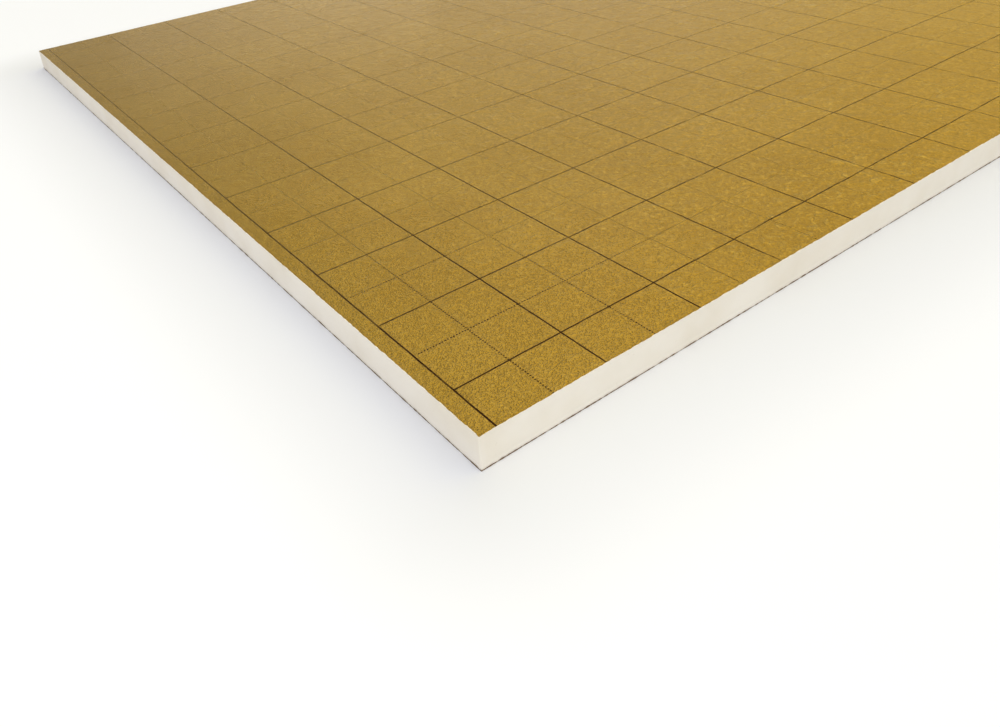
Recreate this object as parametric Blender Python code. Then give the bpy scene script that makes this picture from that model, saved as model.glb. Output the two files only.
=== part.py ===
"""Foil-faced polyiso insulation board: a rigid foam core between two bonded foil facers.

The board lies flat. X runs across the foil web, Y along it and Z up, and the origin is the
centre of the underside. Metres throughout.
"""

import math
import random

import bmesh
import bpy
from mathutils import Vector

# Overall board, as such boards are sold
BOARD_LENGTH = 1.200
BOARD_WIDTH = 1.200
BOARD_THICKNESS = 0.030

# Foil and kraft laminate on each face
FACER_THICKNESS = 0.0002

# The bond line that stays open between the foam and each facer
BOND_GAP = 0.0003

# Handling wear that softens the four upright corners of the foam
CORNER_RADIUS = 0.0015
CORNER_SEGMENTS = 4

# The saw tears the foil back from the foam: mean setback, how far it wanders either way, and
# the distance between one tear and the next
TRIM_SETBACK = 0.0007
TRIM_WANDER = 0.0004
TRIM_PITCH = 0.010
TOP_TRIM_SEED = 11
BOTTOM_TRIM_SEED = 23

# Colours read from the board: gold lacquer on the foil and cream foam
GOLD = (0.52, 0.36, 0.07)
FOAM = (0.86, 0.82, 0.74)


def clear_scene():
    for old in list(bpy.data.objects):
        bpy.data.objects.remove(old, do_unlink=True)


def make_material(name, colour, roughness, metallic):
    material = bpy.data.materials.new(name)
    material.use_nodes = True
    shader = material.node_tree.nodes["Principled BSDF"]
    shader.inputs["Base Color"].default_value = (*colour, 1.0)
    shader.inputs["Roughness"].default_value = roughness
    shader.inputs["Metallic"].default_value = metallic
    return material


def corner_round(quarter, setback):
    """The arc of one corner, anticlockwise, moved in from the foam's own corner by setback."""
    middle = math.radians(45 + 90 * quarter)
    centre = Vector((
        math.copysign(BOARD_LENGTH / 2 - CORNER_RADIUS, math.cos(middle)),
        math.copysign(BOARD_WIDTH / 2 - CORNER_RADIUS, math.sin(middle)),
    ))
    arc = []
    for step in range(CORNER_SEGMENTS + 1):
        angle = math.radians(90) * (quarter + step / CORNER_SEGMENTS)
        outward = Vector((math.cos(angle), math.sin(angle)))
        arc.append(centre + outward * (CORNER_RADIUS - setback))
    return arc


def sawn_outline():
    """The foam's outline: straight saw cuts between four rounded corners."""
    return [point for quarter in range(4) for point in corner_round(quarter, 0.0)]


def torn_outline(seed):
    """A facer's outline: it follows the foam's, and each side wanders in and out by chance."""
    chance = random.Random(seed)
    corners = [corner_round(quarter, TRIM_SETBACK) for quarter in range(4)]
    outline = []
    for quarter, corner in enumerate(corners):
        start = corner[-1]
        end = corners[(quarter + 1) % 4][0]
        outward = Vector((end.y - start.y, start.x - end.x)).normalized()
        tears = round((end - start).length / TRIM_PITCH)
        outline += corner
        for tear in range(1, tears):
            on_side = start.lerp(end, tear / tears)
            outline.append(on_side + outward * chance.uniform(-TRIM_WANDER, TRIM_WANDER))
    return outline


def slab(name, outline, low, high, material):
    """A flat piece with this outline, extruded from height low to height high."""
    mesh = bmesh.new()
    base = mesh.faces.new([mesh.verts.new((point.x, point.y, low)) for point in outline])
    extruded = bmesh.ops.extrude_face_region(mesh, geom=[base])["geom"]
    raised = [item for item in extruded if isinstance(item, bmesh.types.BMVert)]
    bmesh.ops.translate(mesh, vec=Vector((0, 0, high - low)), verts=raised)
    bmesh.ops.recalc_face_normals(mesh, faces=mesh.faces)
    data = bpy.data.meshes.new(name)
    mesh.to_mesh(data)
    mesh.free()
    data.materials.append(material)
    piece = bpy.data.objects.new(name, data)
    bpy.context.scene.collection.objects.link(piece)
    return piece


def build():
    clear_scene()
    foil = make_material("gold_foil", GOLD, roughness=0.38, metallic=0.9)
    foam = make_material("polyiso_foam", FOAM, roughness=0.9, metallic=0.0)
    foam_low = FACER_THICKNESS + BOND_GAP
    foam_high = BOARD_THICKNESS - foam_low
    top_low = BOARD_THICKNESS - FACER_THICKNESS
    slab("bottom_facer", torn_outline(BOTTOM_TRIM_SEED), 0.0, FACER_THICKNESS, foil)
    slab("foam_core", sawn_outline(), foam_low, foam_high, foam)
    slab("top_facer", torn_outline(TOP_TRIM_SEED), top_low, BOARD_THICKNESS, foil)


build()
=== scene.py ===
"""A foil-faced polyiso insulation board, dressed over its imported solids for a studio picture."""

import math

import bmesh
import bpy
from mathutils import Matrix, Vector, noise


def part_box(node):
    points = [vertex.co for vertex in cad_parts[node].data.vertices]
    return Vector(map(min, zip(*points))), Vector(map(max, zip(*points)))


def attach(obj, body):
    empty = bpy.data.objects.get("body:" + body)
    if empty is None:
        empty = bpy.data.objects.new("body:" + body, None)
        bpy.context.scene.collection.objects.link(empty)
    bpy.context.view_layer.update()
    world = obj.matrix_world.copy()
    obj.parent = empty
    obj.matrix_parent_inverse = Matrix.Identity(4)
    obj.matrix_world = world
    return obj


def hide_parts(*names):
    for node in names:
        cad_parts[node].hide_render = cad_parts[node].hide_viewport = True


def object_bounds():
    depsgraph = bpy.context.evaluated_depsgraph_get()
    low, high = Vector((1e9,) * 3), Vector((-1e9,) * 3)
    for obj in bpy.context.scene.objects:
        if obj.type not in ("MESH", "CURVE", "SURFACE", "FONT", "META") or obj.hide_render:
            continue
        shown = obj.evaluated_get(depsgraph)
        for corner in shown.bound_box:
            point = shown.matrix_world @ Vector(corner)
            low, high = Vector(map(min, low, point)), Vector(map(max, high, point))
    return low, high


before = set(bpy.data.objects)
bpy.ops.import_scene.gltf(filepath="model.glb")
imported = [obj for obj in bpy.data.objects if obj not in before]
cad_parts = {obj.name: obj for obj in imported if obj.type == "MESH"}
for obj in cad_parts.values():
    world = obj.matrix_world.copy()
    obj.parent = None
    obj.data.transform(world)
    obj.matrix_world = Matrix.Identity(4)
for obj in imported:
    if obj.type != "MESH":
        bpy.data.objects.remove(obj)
cad_low, cad_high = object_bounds()


# The foam core is one slab of closed-cell polyiso, foamed between the two facers in a press and
# then sawn square. The saw leaves faint waves along each cut and crumbles cells at the rims.

core_low, core_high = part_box("foam_core")
core_low.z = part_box("bottom_facer")[1].z
core_high.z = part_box("top_facer")[0].z

CORNER_WEAR = 0.0015
CORNER_STEPS = 4
UPRIGHT_RISE = 0.001
LONG_EDGE = 0.5
SAW_STEP = 0.004
SAW_ROWS = 8
SAW_WAVE = 0.00012
SAW_WAVE_LENGTH = 0.030
AT_RIM = 0.0001
RIM_CRUMBLE = 0.00035
RIM_CRUMBLE_LENGTH = 0.005

FOAM_PALE = (0.842, 0.803, 0.735, 1)
FOAM_WARM = (0.784, 0.731, 0.640, 1)
# The pit colour is painted shade inside the foam's pits.
FOAM_PIT_SHADE = (0.62, 0.55, 0.44, 1)
CLOUD_SIZE = 0.060
PIT_SIZE = 0.0022
PIT_SHADE_SHARE = 0.35
CELL_SIZE = 0.0009
CELL_RELIEF = 0.00018
SAW_LINE_SIZE = 0.0016
SAW_LINE_SQUEEZE = 0.12
SAW_LINE_SHARE = 0.5


def upright_edges(mesh):
    return [e for e in mesh.edges if abs(e.verts[0].co.z - e.verts[1].co.z) > UPRIGHT_RISE]


def long_edges(mesh):
    return [e for e in mesh.edges if e.calc_length() > LONG_EDGE]


def sawn_slab(low, high):
    mesh = bmesh.new()
    bmesh.ops.create_cube(mesh, size=1.0)
    bmesh.ops.scale(mesh, vec=high - low, verts=mesh.verts)
    bmesh.ops.translate(mesh, vec=(low + high) / 2, verts=mesh.verts)
    bmesh.ops.bevel(
        mesh,
        geom=upright_edges(mesh),
        offset=CORNER_WEAR,
        segments=CORNER_STEPS,
        profile=0.5,
        affect="EDGES",
        material=-1,
    )
    cuts_along = round((high.x - low.x) / SAW_STEP) - 1
    bmesh.ops.subdivide_edges(mesh, edges=long_edges(mesh), cuts=cuts_along)
    bmesh.ops.subdivide_edges(mesh, edges=upright_edges(mesh), cuts=SAW_ROWS - 1)
    return mesh


def weather_the_cuts(mesh, low, high):
    """Presses each sawn face in by the saw's waves, and crumbles it at its two rims."""
    mesh.normal_update()
    moves = []
    for vertex in mesh.verts:
        inward = -Vector((vertex.normal.x, vertex.normal.y, 0)).normalized()
        depth = SAW_WAVE * (0.5 + 0.5 * noise.noise(vertex.co / SAW_WAVE_LENGTH))
        if min(vertex.co.z - low.z, high.z - vertex.co.z) < AT_RIM:
            crumble = noise.noise(vertex.co / RIM_CRUMBLE_LENGTH)
            depth += RIM_CRUMBLE * max(0.0, crumble)
        moves.append((vertex, inward * depth))
    for vertex, move in moves:
        vertex.co += move


def finished(name, mesh, material):
    """Turns a mesh into a piece at the origin that rides on the frame's one body."""
    bmesh.ops.recalc_face_normals(mesh, faces=mesh.faces)
    data = bpy.data.meshes.new(name)
    mesh.to_mesh(data)
    mesh.free()
    data.shade_smooth()
    data.set_sharp_from_angle(angle=math.radians(40))
    data.materials.append(material)
    piece = bpy.data.objects.new(name, data)
    bpy.context.scene.collection.objects.link(piece)
    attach(piece, "root")
    return piece


def new_material(name, **values):
    """A Principled material with these fixed values on its shader's own sockets."""
    material = bpy.data.materials.new(name)
    material.use_nodes = True
    shader = material.node_tree.nodes["Principled BSDF"]
    for socket, value in values.items():
        shader.inputs[socket.replace("_", " ")].default_value = value
    return material, shader


def plug(tree, value, socket):
    """Links a node's output to a socket, or sets a plain value on it."""
    if isinstance(value, bpy.types.NodeSocket):
        tree.links.new(value, socket)
    else:
        socket.default_value = value


def add(tree, kind, settings=None, **sockets):
    """Adds a node. Sockets take a value or another node's output, spaces written as _."""
    node = tree.nodes.new(kind)
    for key, value in (settings or {}).items():
        setattr(node, key, value)
    for key, value in sockets.items():
        plug(tree, value, node.inputs[key.replace("_", " ")])
    return node


def maths(tree, operation, first, second=0.0, third=0.0):
    node = tree.nodes.new("ShaderNodeMath")
    node.operation = operation
    for socket, value in zip(node.inputs, (first, second, third)):
        plug(tree, value, socket)
    return node.outputs[0]


def times(tree, first, second):
    return maths(tree, "MULTIPLY", first, second)


def ramp_between(tree, value, start, end, low=0.0, high=1.0):
    """Goes smoothly from low to high as value goes from start to end."""
    node = add(
        tree,
        "ShaderNodeMapRange",
        {"interpolation_type": "SMOOTHSTEP"},
        Value=value,
        From_Min=start,
        From_Max=end,
        To_Min=low,
        To_Max=high,
    )
    return node.outputs["Result"]


def blend_colours(tree, share, first, second):
    """Mixes two colours, which the Mix node keeps at its inputs 6 and 7 and its output 2."""
    node = tree.nodes.new("ShaderNodeMix")
    node.data_type = "RGBA"
    plug(tree, share, node.inputs["Factor"])
    plug(tree, first, node.inputs[6])
    plug(tree, second, node.inputs[7])
    return node.outputs[2]


def noise_field(tree, place, size, detail=2.0, roughness=0.5, distortion=0.0, seed=0.0):
    """Noise whose patches are about size metres across, from 0 to 1."""
    node = add(
        tree,
        "ShaderNodeTexNoise",
        {"noise_dimensions": "4D"},
        Vector=place,
        W=seed,
        Scale=1 / size,
        Detail=detail,
        Roughness=roughness,
        Distortion=distortion,
    )
    return node.outputs["Fac"]


def foam_material():
    material, shader = new_material("cream_foam", Roughness=0.88, Specular_IOR_Level=0.25)
    tree = material.node_tree
    place = add(tree, "ShaderNodeTexCoord").outputs["Object"]
    cloud = noise_field(tree, place, CLOUD_SIZE, detail=3.0)
    tone = blend_colours(tree, ramp_between(tree, cloud, 0.30, 0.75), FOAM_PALE, FOAM_WARM)
    # Painted shade: the foam darkens in its pits.
    shaded_pits = ramp_between(tree, noise_field(tree, place, PIT_SIZE, detail=2.0), 0.66, 0.78)
    shade = blend_colours(tree, times(tree, shaded_pits, PIT_SHADE_SHARE), tone, FOAM_PIT_SHADE)
    plug(tree, shade, shader.inputs["Base Color"])
    cells = noise_field(tree, place, CELL_SIZE, detail=3.0, roughness=0.6)
    upright = add(tree, "ShaderNodeMapping", Vector=place, Scale=(1.0, 1.0, SAW_LINE_SQUEEZE))
    saw_lines = noise_field(tree, upright.outputs["Vector"], SAW_LINE_SIZE, detail=1.0)
    relief = maths(tree, "MULTIPLY_ADD", saw_lines, SAW_LINE_SHARE, cells)
    bump = add(tree, "ShaderNodeBump", Strength=0.5, Distance=CELL_RELIEF, Height=relief)
    plug(tree, bump.outputs["Normal"], shader.inputs["Normal"])
    return material


core_mesh = sawn_slab(core_low, core_high)
weather_the_cuts(core_mesh, core_low, core_high)
foam_core = finished("polyiso_core", core_mesh, foam_material())
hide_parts("foam_core")


# The top facer is aluminium foil on kraft paper, lacquered gold and embossed like fine leather.
# It is bonded to the foam as the foam sets, and the saw tears its rim back a little.

top_low, top_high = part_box("top_facer")

FOIL_STEP = 0.005
RIM_CUTS = 3
FOIL_RIPPLE = 0.00012
FOIL_RIPPLE_LENGTH = 0.045
ON_SIDE = 0.002
TEAR_LENGTH = 0.0035
TEAR_DRIFT_LENGTH = 0.040
TEAR_MEAN = 0.45
TEAR_SWING = 0.8
TEAR_DRIFT = 0.2
TOP_TEAR_LEAST = 0.00015
TOP_TEAR_DEPTH = 0.0007
RIM_DROOP = 0.00008

GOLD_DEEP = (0.366, 0.217, 0.0228, 1)
GOLD_LIGHT = (0.405, 0.247, 0.0309, 1)
# The valley colour is painted shade in the emboss's hollows.
GOLD_IN_PAINTED_SHADE = (0.215, 0.118, 0.011, 1)
# The rubbed colour is a painted glint on the emboss's crowns and knocks.
GOLD_PAINTED_GLINT = (0.610, 0.430, 0.110, 1)
GOLD_EDGE = (1.0, 0.89, 0.66, 1)
LACQUER = {
    "Metallic": 1.0,
    "Specular_Tint": GOLD_EDGE,
    "Specular_IOR_Level": 0.15,
    "Coat_Weight": 0.12,
    "Coat_Roughness": 0.22,
}

# The foil lies tight along its left side and slack from its middle on. Where it is tight it also
# gets less painted shade and glint.
SLACK_LEAST = 0.35
SLACK_BEGINS = 0.05
SLACK_IN_FULL = 0.50

GRAIN_SIZE = 0.0021
GRAIN_WIDTH = 0.22
GRAIN_RELIEF = 0.00044
GRAIN_SHADE = 0.27
GRIT_SIZE = 0.0038
GRIT_RELIEF = 0.0006
GRIT_SHADE = 0.19
GRIT_SHADE_LEAST = 0.01
# How much painted glint the grit's crowns get.
GRIT_GLINT = 0.34
PEBBLE_SIZE = 0.0060
PEBBLE_RELIEF = 0.0008
PEBBLE_SHADE = 0.18
DENT_SIZE = 0.016
DENT_RELIEF = 0.0022
KNOCK_SIZE = 0.011
KNOCK_RELIEF = 0.0010
# How much painted glint the knocks get.
KNOCK_GLINT = 0.25
WORN_SIZE = 0.100
TONE_SIZE = 0.110
GLOSS_SIZE = 0.030
GLOSS_LOW = 0.22
GLOSS_HIGH = 0.28


def tear(place, least, depth, seed):
    """How far the foil's rim has been torn back from the sawn edge at this place."""
    fine = noise.noise(place / TEAR_LENGTH + Vector((0, 0, seed)))
    drift = noise.noise(place / TEAR_DRIFT_LENGTH + Vector((0, 0, seed)))
    share = min(1.0, max(0.0, TEAR_MEAN + TEAR_SWING * fine + TEAR_DRIFT * drift))
    return least + depth * share


def rim_of(mesh):
    return [edge for edge in mesh.edges if edge.is_boundary]


def outward(place):
    """The way out of the board from a place on its rim, across the nearest sides."""
    sides = Vector((0, 0, 0))
    if abs(place.x) > cad_high.x - ON_SIDE:
        sides.x = math.copysign(1, place.x)
    if abs(place.y) > cad_high.y - ON_SIDE:
        sides.y = math.copysign(1, place.y)
    return sides


def foil_face(high, least, depth, seed):
    """The foil's finished side at height high: a rippled sheet whose rim the saw has torn."""
    mesh = bmesh.new()
    columns = round(2 * cad_high.x / FOIL_STEP)
    rows = round(2 * cad_high.y / FOIL_STEP)
    bmesh.ops.create_grid(mesh, x_segments=columns, y_segments=rows, size=0.5)
    bmesh.ops.scale(mesh, vec=Vector((2 * cad_high.x, 2 * cad_high.y, 1)), verts=mesh.verts)
    bmesh.ops.subdivide_edges(mesh, edges=rim_of(mesh), cuts=RIM_CUTS)
    for vertex in mesh.verts:
        flat = vertex.co.copy()
        ripple = 0.5 + 0.5 * noise.noise(flat / FOIL_RIPPLE_LENGTH + Vector((0, 0, seed)))
        vertex.co.z = high - FOIL_RIPPLE * ripple
        if vertex.is_boundary:
            vertex.co -= outward(flat) * tear(flat, least, depth, seed)
            vertex.co.z -= RIM_DROOP * (0.5 + 0.5 * noise.noise(flat / TEAR_LENGTH))
    return mesh


def extruded_rim(mesh):
    """Extrudes the open rim in place, and returns its new vertices."""
    made = bmesh.ops.extrude_edge_only(mesh, edges=rim_of(mesh))["geom"]
    return [item for item in made if isinstance(item, bmesh.types.BMVert)]


def ridges(tree, field, width):
    """One along the lines where a field crosses its middle, falling to nothing beside them."""
    off_middle = maths(tree, "ABSOLUTE", maths(tree, "SUBTRACT", field, 0.5))
    return ramp_between(tree, off_middle, width, 0.0)


def slackness(tree, place):
    """How loosely the foil lies: a third at the web's left side, rising to one at its middle."""
    across = add(tree, "ShaderNodeSeparateXYZ", Vector=place).outputs["X"]
    begins = cad_low.x + SLACK_BEGINS
    return ramp_between(tree, across, begins, cad_low.x + SLACK_IN_FULL, SLACK_LEAST, 1.0)


def stacked_relief(tree, reliefs):
    """The normal of several reliefs laid on each other, each with its height in metres."""
    normal = None
    for relief, height in reliefs:
        bump = add(tree, "ShaderNodeBump", Strength=1.0, Distance=height, Height=relief)
        if normal:
            plug(tree, normal, bump.inputs["Normal"])
        normal = bump.outputs["Normal"]
    return normal


def gold_finish(tree, shader, place):
    """Shapes the foil's normal, and returns its gold, with painted shade and painted glints in it,
    and its roughness.
    """
    slack = slackness(tree, place)
    grain = noise_field(tree, place, GRAIN_SIZE, detail=1.0, distortion=0.4)
    grain = ridges(tree, grain, GRAIN_WIDTH)
    grit = noise_field(tree, place, GRIT_SIZE, detail=2.0, roughness=0.6, seed=9.0)
    pebble = noise_field(tree, place, PEBBLE_SIZE, detail=2.0)
    dents = noise_field(tree, place, DENT_SIZE, detail=1.0)
    worn = noise_field(tree, place, WORN_SIZE, detail=2.0, seed=5.0)
    worn = times(tree, ramp_between(tree, worn, 0.40, 0.60), slack)
    knocks = noise_field(tree, place, KNOCK_SIZE, detail=1.0, distortion=0.6)
    knocks = times(tree, ramp_between(tree, knocks, 0.56, 0.72), worn)
    reliefs = (
        (grain, GRAIN_RELIEF),
        (grit, GRIT_RELIEF),
        (times(tree, pebble, slack), PEBBLE_RELIEF),
        (times(tree, dents, slack), DENT_RELIEF),
        (knocks, KNOCK_RELIEF),
    )
    plug(tree, stacked_relief(tree, reliefs), shader.inputs["Normal"])

    tones = noise_field(tree, place, TONE_SIZE, detail=3.0)
    gold = blend_colours(tree, ramp_between(tree, tones, 0.3, 0.7), GOLD_DEEP, GOLD_LIGHT)
    # Painted shade: the gold darkens in the hollows between the grain's ridges, the grit and the
    # pebbles.
    painted_shade = times(tree, maths(tree, "SUBTRACT", 1.0, grain), GRAIN_SHADE)
    grit_shade = maths(tree, "MULTIPLY_ADD", slack, GRIT_SHADE, GRIT_SHADE_LEAST)
    between_grit = ramp_between(tree, grit, 0.60, 0.40)
    painted_shade = maths(tree, "MULTIPLY_ADD", between_grit, grit_shade, painted_shade)
    between_pebbles = times(tree, ramp_between(tree, pebble, 0.62, 0.38), slack)
    painted_shade = maths(tree, "MULTIPLY_ADD", between_pebbles, PEBBLE_SHADE, painted_shade)
    gold = blend_colours(tree, painted_shade, gold, GOLD_IN_PAINTED_SHADE)
    # Painted glint: the gold lightens on the grit's crowns and on the knocks, where the foil is
    # slack.
    painted_glint = times(tree, ramp_between(tree, grit, 0.55, 0.70), GRIT_GLINT)
    painted_glint = times(tree, maths(tree, "MULTIPLY_ADD", knocks, KNOCK_GLINT, painted_glint), slack)
    gold = blend_colours(tree, painted_glint, gold, GOLD_PAINTED_GLINT)

    gloss = noise_field(tree, place, GLOSS_SIZE, detail=3.0)
    return gold, ramp_between(tree, gloss, 0.2, 0.8, GLOSS_LOW, GLOSS_HIGH)


# The grid is printed on the top facer only, so that the board can be cut to size without a rule:
# dark solid lines every 100 mm and dotted ones half way, with a heavier border along the web.

SQUARE = 0.100
BORDER_X = -0.585
FAR_BORDER_X = 0.565
FIRST_CROSS_Y = -0.5520
LINE_WIDTH = 0.0015
BORDER_WIDTH = 0.0016
DOT_PITCH = 0.0027
DOT_RADIUS = 0.00080
DOT_START = 0.0025
PRINT_BLUR = 0.00015
PRINT_DRIFT = 0.0024
PRINT_DRIFT_LENGTH = 0.028
INK = (0.030, 0.009, 0.003, 1)
INK_ROUGHNESS = 0.15

# The ink pales towards the board's far end and far corner: painted sheen that washes out the far
# lines.
# Each row reads: from, to, and the share of ink at either end.
CROSS_LINES_SHEEN_FADE = (-0.52, 0.10, 0.96, 0.64)
DOTS_SHEEN_FADE = (-1.05, -0.60, 1.0, 0.34)
ALL_INK_SHEEN_FADE = (-0.55, 0.30, 1.0, 0.62)
FAINT_SIZE = 0.16
FAINT_LEAST = 0.80
STARVED_SIZE = 0.020
STARVED_MOST = 0.65


def from_nearest(tree, along, first, pitch):
    """Distance to the nearest of a row of lines that starts at first and repeats by pitch."""
    shifted = maths(tree, "SUBTRACT", along, first)
    return maths(tree, "PINGPONG", shifted, pitch / 2)


def stroke(tree, distance, width):
    """One where the distance lies inside a line of this width, with a soft inky edge."""
    return ramp_between(tree, distance, width / 2 + PRINT_BLUR, width / 2 - PRINT_BLUR)


def dots(tree, across, along):
    """One on each of a row of round dots that runs along a line."""
    beside = from_nearest(tree, along, 0.0, DOT_PITCH)
    across_squared = maths(tree, "POWER", across, 2.0)
    beside_squared = maths(tree, "POWER", beside, 2.0)
    from_centre = maths(tree, "SQRT", maths(tree, "ADD", across_squared, beside_squared))
    return stroke(tree, from_centre, 2 * DOT_RADIUS)


def drifted(tree, place):
    """The place on the print's own plate: the foil has stretched a little where it is slack."""
    drift = add(tree, "ShaderNodeTexNoise", Vector=place, Scale=1 / PRINT_DRIFT_LENGTH, Detail=1.0)
    centred = add(tree, "ShaderNodeVectorMath", {"operation": "SUBTRACT"})
    tree.links.new(drift.outputs["Color"], centred.inputs[0])
    centred.inputs[1].default_value = (0.5, 0.5, 0.5)
    moved = add(tree, "ShaderNodeVectorMath", {"operation": "MULTIPLY_ADD"})
    tree.links.new(centred.outputs["Vector"], moved.inputs[0])
    tree.links.new(times(tree, slackness(tree, place), PRINT_DRIFT), moved.inputs[1])
    tree.links.new(place, moved.inputs[2])
    return moved.outputs["Vector"]


def ink_cover_and_sheen(tree, place, y):
    """How fully the ink covers the foil: starved in patches, and paled towards the far end by
    painted sheen.
    """
    patches = noise_field(tree, place, STARVED_SIZE, detail=4.0, roughness=0.75)
    starved = ramp_between(tree, patches, 0.52, 0.34, 0.0, STARVED_MOST)
    cover = maths(tree, "SUBTRACT", 1.0, times(tree, starved, slackness(tree, place)))
    # Painted sheen: all the ink pales towards the far end.
    return times(tree, cover, ramp_between(tree, y, *ALL_INK_SHEEN_FADE))


def printed_grid(tree, place):
    """How much ink lies at each place, from 0 to 1, paled towards the far end by painted sheen."""
    axes = add(tree, "ShaderNodeSeparateXYZ", Vector=drifted(tree, place)).outputs
    x, y = axes["X"], axes["Y"]
    past_border = maths(tree, "GREATER_THAN", x, BORDER_X)
    in_grid = times(tree, past_border, maths(tree, "LESS_THAN", x, FAR_BORDER_X))
    to_long = from_nearest(tree, x, BORDER_X, SQUARE)
    to_cross = from_nearest(tree, y, FIRST_CROSS_Y, SQUARE)
    long_lines = times(tree, stroke(tree, to_long, LINE_WIDTH), in_grid)
    cross_lines = times(tree, stroke(tree, to_cross, LINE_WIDTH), in_grid)
    # Painted sheen: the cross lines pale towards the far end.
    cross_lines = times(tree, cross_lines, ramp_between(tree, y, *CROSS_LINES_SHEEN_FADE))

    faint = noise_field(tree, place, FAINT_SIZE, detail=2.0, seed=2.0)
    faint = ramp_between(tree, faint, 0.32, 0.52, FAINT_LEAST, 1.0)
    # Painted sheen: the dots pale towards the far corner.
    faint = times(tree, faint, ramp_between(tree, maths(tree, "ADD", x, y), *DOTS_SHEEN_FADE))
    dotted = times(tree, faint, in_grid)
    to_long_half = from_nearest(tree, x, BORDER_X + SQUARE / 2, SQUARE)
    to_cross_half = from_nearest(tree, y, FIRST_CROSS_Y + SQUARE / 2, SQUARE)
    long_dots = times(tree, dots(tree, to_long_half, y), dotted)
    dots_begin = maths(tree, "GREATER_THAN", x, BORDER_X + DOT_START)
    cross_dots = times(tree, dots(tree, to_cross_half, x), times(tree, dots_begin, dotted))

    ink = long_lines
    for mark in (cross_lines, long_dots, cross_dots):
        ink = maths(tree, "MAXIMUM", ink, mark)
    for border in (BORDER_X, FAR_BORDER_X):
        distance = maths(tree, "ABSOLUTE", maths(tree, "SUBTRACT", x, border))
        ink = maths(tree, "MAXIMUM", ink, stroke(tree, distance, BORDER_WIDTH))
    return times(tree, ink, ink_cover_and_sheen(tree, place, y))


def printed_foil():
    material, shader = new_material("printed_gold_foil", **LACQUER)
    tree = material.node_tree
    place = add(tree, "ShaderNodeTexCoord").outputs["Object"]
    gold, roughness = gold_finish(tree, shader, place)
    ink = printed_grid(tree, place)
    coat = LACQUER["Coat_Weight"]
    inked_roughness = maths(tree, "MULTIPLY_ADD", ink, INK_ROUGHNESS, roughness)
    plug(tree, blend_colours(tree, ink, gold, INK), shader.inputs["Base Color"])
    plug(tree, maths(tree, "MULTIPLY_ADD", ink, -coat, coat), shader.inputs["Coat Weight"])
    plug(tree, inked_roughness, shader.inputs["Roughness"])
    return material


top_mesh = foil_face(top_high.z, TOP_TEAR_LEAST, TOP_TEAR_DEPTH, seed=3.7)
for vertex in extruded_rim(top_mesh):
    vertex.co.z = top_low.z
bmesh.ops.edgeloop_fill(top_mesh, edges=rim_of(top_mesh))
top_facer = finished("top_foil_facer", top_mesh, printed_foil())
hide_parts("top_facer")


# The bottom facer is the same laminate, unprinted, with its gold side down. The saw leaves through
# it and turns its rim up into a thin, nearly unbroken brown burr along the foam's foot. Its dark
# brown is partly kraft and partly painted shade, the dark contact line at the foot.

bottom_low, bottom_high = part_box("bottom_facer")

BOTTOM_TEAR_LEAST = -0.00036
BOTTOM_TEAR_DEPTH = 0.00034
BURR_THICKNESS = 0.00015
BURR_RISE = 3.0

# The burr's brown is darker than kraft paper: partly kraft, partly painted shade along the foot.
KRAFT_AND_FOOT_SHADE = (0.17, 0.095, 0.042, 1)
KRAFT_ROUGHNESS = 0.4
FOIL_ENDS = 0.00012
KRAFT_BEGINS = 0.00016


def turn_up_burrs(mesh):
    """Closes the sheet's upper side, and raises its rim where that stands out past the foam."""
    for vertex in extruded_rim(mesh):
        side = outward(vertex.co)
        past = max(abs(vertex.co.x) * abs(side.x), abs(vertex.co.y) * abs(side.y)) - cad_high.x
        vertex.co.z = bottom_high.z + BURR_RISE * max(0.0, past)
    for vertex in extruded_rim(mesh):
        vertex.co -= outward(vertex.co) * BURR_THICKNESS
        vertex.co.z = bottom_high.z
    bmesh.ops.edgeloop_fill(mesh, edges=rim_of(mesh))


def plain_foil():
    material, shader = new_material("plain_gold_foil", **LACQUER)
    tree = material.node_tree
    place = add(tree, "ShaderNodeTexCoord").outputs["Object"]
    gold, roughness = gold_finish(tree, shader, place)
    height = add(tree, "ShaderNodeSeparateXYZ", Vector=place).outputs["Z"]
    kraft_and_foot_shade = ramp_between(tree, height, FOIL_ENDS, KRAFT_BEGINS)
    kraft_roughness = maths(tree, "MULTIPLY_ADD", kraft_and_foot_shade, KRAFT_ROUGHNESS, roughness)
    # The burr's faces take the dark brown, partly painted shade along the foot.
    plug(tree, blend_colours(tree, kraft_and_foot_shade, gold, KRAFT_AND_FOOT_SHADE), shader.inputs["Base Color"])
    plug(tree, maths(tree, "SUBTRACT", 1.0, kraft_and_foot_shade), shader.inputs["Metallic"])
    plug(tree, kraft_roughness, shader.inputs["Roughness"])
    return material


bottom_mesh = foil_face(0.0, BOTTOM_TEAR_LEAST, BOTTOM_TEAR_DEPTH, seed=8.1)
for vertex in bottom_mesh.verts:
    vertex.co.z = bottom_low.z - vertex.co.z
turn_up_burrs(bottom_mesh)
bottom_facer = finished("bottom_foil_facer", bottom_mesh, plain_foil())
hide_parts("bottom_facer")


# The floor is a wide sheet of white paper that the board lies on. It keeps the board's shadow, and
# away from the board it glows a little to the eye, so that it runs into the white behind it.
# Beside the board the glow is held down, which adds a painted shadow round its foot.

FLOOR_SIZE = 40.0
PAPER_WHITE = (0.765, 0.784, 0.848, 1)
WHITE = (1, 1, 1, 1)

# Each row reads: from this far off the board, to that far, and the glow at either end.
# Beside the board the glow starts low at its foot, adding a painted shadow to the real one.
GLOW_WITH_PAINTED_SHADOW = (0.0, 0.16, 0.02, 0.165)
GLOW_FAR_OFF = (0.3, 3.0, 0.0, 0.30)


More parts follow.
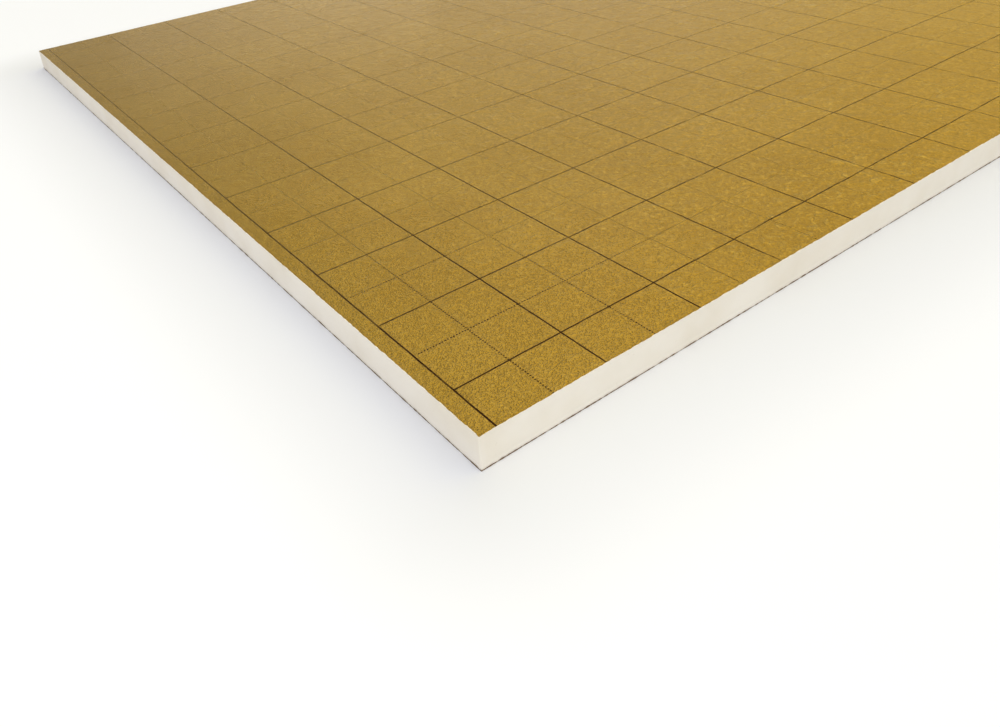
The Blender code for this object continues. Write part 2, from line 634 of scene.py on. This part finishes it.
def off_the_board(tree, place):
    """How far a place on the floor lies from the board's outline."""
    axes = add(tree, "ShaderNodeSeparateXYZ", Vector=place).outputs
    squares = []
    for name, half in (("X", cad_high.x), ("Y", cad_high.y)):
        past = maths(tree, "SUBTRACT", maths(tree, "ABSOLUTE", axes[name]), half)
        squares.append(maths(tree, "POWER", maths(tree, "MAXIMUM", past, 0.0), 2.0))
    return maths(tree, "SQRT", maths(tree, "ADD", *squares))


def white_paper():
    material, shader = new_material(
        "white_paper",
        Base_Color=PAPER_WHITE,
        Roughness=0.9,
        Specular_IOR_Level=0.1,
        Emission_Color=WHITE,
    )
    tree = material.node_tree
    rays = add(tree, "ShaderNodeLightPath").outputs
    seen = maths(tree, "MAXIMUM", rays["Is Camera Ray"], rays["Is Glossy Ray"])
    seen = maths(tree, "MAXIMUM", seen, rays["Is Transmission Ray"])
    distance = off_the_board(tree, add(tree, "ShaderNodeTexCoord").outputs["Object"])
    # Painted shadow: the glow is held down close to the board.
    beside = ramp_between(tree, distance, *GLOW_WITH_PAINTED_SHADOW)
    glow = maths(tree, "ADD", beside, ramp_between(tree, distance, *GLOW_FAR_OFF))
    plug(tree, times(tree, seen, glow), shader.inputs["Emission Strength"])
    return material


floor_mesh = bmesh.new()
bmesh.ops.create_grid(floor_mesh, x_segments=1, y_segments=1, size=FLOOR_SIZE / 2)
floor_data = bpy.data.meshes.new("paper_floor")
floor_mesh.to_mesh(floor_data)
floor_mesh.free()
floor_data.materials.append(white_paper())
paper_floor = bpy.data.objects.new("paper_floor", floor_data)
bpy.context.scene.collection.objects.link(paper_floor)


# The studio is a white room whose walls are brightest at the right. A large soft box stands at
# the board's front left, a weak one hangs high behind it, and a weak low one stands far behind it.

# Each row reads: from, to, and the room's level at either end. Directions run from -1 to 1.
WALLS_BY_RIGHTWARD = (0.08, 0.90, 0.34, 1.07)
WALLS_BY_BACKWARD = (0.0, -0.5, 0.50, 0.78)
CEILING_BY_HEIGHT = (0.15, 0.65, 0.85, 1.10)
CEILING_TOP = (0.48, 0.70, 0.0, 0.18)
LOW_BAND = (0.34, 0.22)
LOW_BAND_BY_RIGHTWARD = (0.95, 0.50, 0.04, 0.34)
UPPER_RIGHT = (0.86, 0.99, 0.0, 0.25)
UPPER_RIGHT_SLANT = 0.60
WARM_SIDE = (0.72, 0.95)
WARM_TINT = (1.0, 0.90, 0.48, 1)
LEFT_SIDE = (-0.2, -0.8)
LEFT_TINT = (1.0, 0.97, 0.91, 1)


def room_level(tree, axes, rightward):
    """How bright the room is in each direction."""
    walls = ramp_between(tree, rightward, *WALLS_BY_RIGHTWARD)
    walls = maths(tree, "MAXIMUM", walls, ramp_between(tree, axes["Y"], *WALLS_BY_BACKWARD))
    low_band = ramp_between(tree, rightward, *LOW_BAND_BY_RIGHTWARD)
    low_band = times(tree, ramp_between(tree, axes["Z"], *LOW_BAND), low_band)
    slanted = maths(tree, "MULTIPLY_ADD", rightward, UPPER_RIGHT_SLANT, axes["Z"])
    ceiling = maths(tree, "ADD", ramp_between(tree, axes["Z"], *CEILING_BY_HEIGHT), low_band)
    ceiling = maths(tree, "ADD", ceiling, ramp_between(tree, slanted, *UPPER_RIGHT))
    ceiling = maths(tree, "ADD", ceiling, ramp_between(tree, axes["Z"], *CEILING_TOP))
    return times(tree, walls, ceiling)


def room_tint(tree, rightward):
    """The room's colour in each direction: warm at its right and faintly so at its left."""
    tint = blend_colours(tree, ramp_between(tree, rightward, *WARM_SIDE), WHITE, WARM_TINT)
    return blend_colours(tree, ramp_between(tree, rightward, *LEFT_SIDE), tint, LEFT_TINT)


def white_room():
    """Lights the board by the room, which the camera itself sees as plain white."""
    world = bpy.data.worlds.new("white_room")
    bpy.context.scene.world = world
    world.use_nodes = True
    tree = world.node_tree
    background = tree.nodes["Background"]
    direction = add(tree, "ShaderNodeTexCoord").outputs["Generated"]
    axes = add(tree, "ShaderNodeSeparateXYZ", Vector=direction).outputs
    steepness = maths(tree, "POWER", axes["Z"], 2.0)
    flatness = maths(tree, "POWER", maths(tree, "SUBTRACT", 1.0, steepness), 0.5)
    rightward = maths(tree, "DIVIDE", axes["X"], maths(tree, "MAXIMUM", flatness, 0.001))
    seen = add(tree, "ShaderNodeLightPath").outputs["Is Camera Ray"]
    tint = blend_colours(tree, seen, room_tint(tree, rightward), WHITE)
    level = maths(tree, "MAXIMUM", seen, room_level(tree, axes, rightward))
    plug(tree, tint, background.inputs["Color"])
    plug(tree, level, background.inputs["Strength"])


def soft_box(name, place, aim, width, height, power):
    lamp = bpy.data.lights.new(name, "AREA")
    lamp.shape = "RECTANGLE"
    lamp.size = width
    lamp.size_y = height
    lamp.energy = power
    holder = bpy.data.objects.new(name, lamp)
    bpy.context.scene.collection.objects.link(holder)
    holder.visible_camera = False
    holder.location = place
    holder.rotation_euler = (Vector(aim) - Vector(place)).to_track_quat("-Z", "Y").to_euler()


white_room()
soft_box(
    "front_soft_box",
    place=(-2.25, -1.4, 1.72),
    aim=(0, 0, 0),
    width=1.8,
    height=1.8,
    power=19.0,
)
soft_box(
    "back_soft_box",
    place=(1.4, 2.1, 2.0),
    aim=(-0.2, -0.1, 0),
    width=1.6,
    height=0.8,
    power=2.0,
)
soft_box(
    "far_soft_box",
    place=(1.20, 3.78, 0.85),
    aim=(-0.3, 0.4, 0),
    width=1.8,
    height=0.7,
    power=3.3,
)


# The camera stands low over the near left corner, a little rolled, as the photograph was taken.
# The photograph is only a part of its picture, so the camera is shifted to that part.

CAMERA_PLACE = Vector((-0.8382, -0.9470, 0.4218))
CAMERA_AIM = Vector((-0.4380, -0.3401, 0.0300))
CAMERA_ROLL = 5.082
CAMERA_LENS = 31.108
SENSOR_WIDTH = 36.0
CROP_RIGHTWARD = 0.0533
CROP_UPWARD = -0.1500


def stand_the_camera():
    data = bpy.data.cameras.new("camera")
    data.lens = CAMERA_LENS
    data.sensor_width = SENSOR_WIDTH
    data.shift_x = CROP_RIGHTWARD
    data.shift_y = CROP_UPWARD
    data.clip_start = 0.01
    data.clip_end = 100.0
    camera = bpy.data.objects.new("camera", data)
    bpy.context.scene.collection.objects.link(camera)
    camera.location = CAMERA_PLACE
    level = (CAMERA_AIM - CAMERA_PLACE).to_track_quat("-Z", "Y").to_matrix()
    forward = (CAMERA_AIM - CAMERA_PLACE).normalized()
    turn = Matrix.Rotation(math.radians(CAMERA_ROLL), 3, forward)
    camera.rotation_euler = (turn @ level).to_euler()
    bpy.context.scene.camera = camera


stand_the_camera()
bpy.context.scene.view_settings.view_transform = "Standard"
